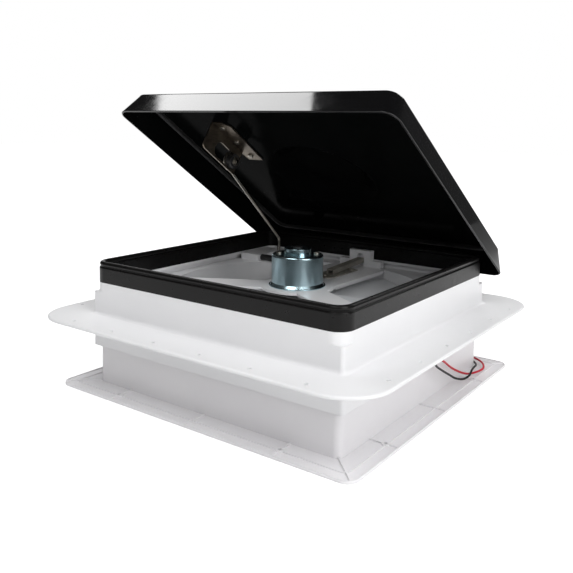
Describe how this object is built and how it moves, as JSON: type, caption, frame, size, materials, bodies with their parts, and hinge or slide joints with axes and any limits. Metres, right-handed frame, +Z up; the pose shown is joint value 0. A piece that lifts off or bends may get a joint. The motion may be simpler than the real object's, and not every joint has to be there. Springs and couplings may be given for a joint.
{
  "type": "caravan roof vent",
  "caption": "Square powered roof vent with a white flanged riser and garnish, black rim, and a gloss black tilting lid raised by a cranked arm over a fan motor.",
  "frame": {"origin": "centre of the footprint on the surface it stands on", "axes": "+Z up, hinge side towards +Y, leads on the +X side"},
  "size_m": [0.458, 0.458, 0.353],
  "materials": {
    "white_abs": "satin white ABS moulding",
    "fan_abs": "satin pale grey plastic",
    "black_rim": "satin black plastic",
    "black_plastic": "satin black plastic",
    "gloss_lid": "high gloss black acrylic-faced ABS",
    "seal_rubber": "matt black sponge rubber",
    "motor_zinc": "bright blue-tinted zinc plating",
    "plain_steel": "plain plated steel",
    "aged_steel": "dull plated steel sheet",
    "mesh": "grey coated wire mesh",
    "red_pvc": "red PVC insulation",
    "black_pvc": "black PVC insulation"
  },
  "bodies": {
    "base": {"interior_garnish": "white_abs", "screen_frame": "white_abs", "insect_screen": "mesh", "switch_body": "black_plastic", "roof_base": "white_abs", "rim_frame": "black_rim", "fan_shroud": "white_abs", "shroud_screws": "plain_steel", "motor_can": "motor_zinc", "motor_boss": "motor_zinc", "motor_cap": "black_plastic", "motor_screws": "plain_steel", "motor_mount_screws": "plain_steel", "wire_channel": "plain_steel", "channel_screws": "plain_steel", "channel_socket": "white_abs", "operator_block": "white_abs", "operator_screws": "plain_steel", "arm_bearing": "black_plastic", "hinge_leaves": "black_plastic", "hinge_pins": "plain_steel", "hinge_screws": "plain_steel", "lead_grommet": "seal_rubber", "red_lead": "red_pvc", "black_lead": "black_pvc"},
    "lid": {"lid_shell": "gloss_lid", "lid_seal": "seal_rubber", "lid_lugs": "black_plastic", "lid_bracket": "aged_steel", "bracket_screws": "plain_steel"},
    "lift_arm": {"lift_arm": "plain_steel", "slide_bush": "black_plastic", "slide_washers": "plain_steel", "slide_clip": "plain_steel"},
    "crank": {"crank_shaft": "plain_steel", "crank_knob": "black_plastic"},
    "fan": {"motor_shaft": "plain_steel", "fan_hub": "fan_abs", "fan_blades": "fan_abs", "fan_nut": "plain_steel"},
    "rocker": {"switch_rocker": "black_plastic"}
  },
  "joints": [
    {"name": "lid_hinge", "type": "hinge", "parent": "base", "child": "lid", "pos_m": [0, 0.1875, 0.11], "axis": [-1, 0, 0], "range_deg": [-33, 0]},
    {"name": "lift_arm_pivot", "type": "hinge", "parent": "base", "child": "lift_arm", "pos_m": [-0.104, 0.1, 0.121], "axis": [-1, 0, 0], "range_deg": [-48.5, 0]},
    {"name": "crank_turn", "type": "hinge", "parent": "base", "child": "crank", "pos_m": [-0.14885, 0.13, 0.06], "axis": [0, 0, -1], "range_deg": [-970, 0]},
    {"name": "fan_spin", "type": "hinge", "parent": "base", "child": "fan", "pos_m": [0, 0, 0.095], "axis": [0, 0, 1], "continuous": true},
    {"name": "switch_rocker_tilt", "type": "hinge", "parent": "base", "child": "rocker", "pos_m": [0.1395, -0.1375, 0.0205], "axis": [1, 0, 0], "range_deg": [-10, 10]}
  ],
  "couplings": [
    {"joint": "lift_arm_pivot", "follows": "lid_hinge", "ratio": 1.468},
    {"joint": "crank_turn", "follows": "lid_hinge", "ratio": 29.36}
  ]
}
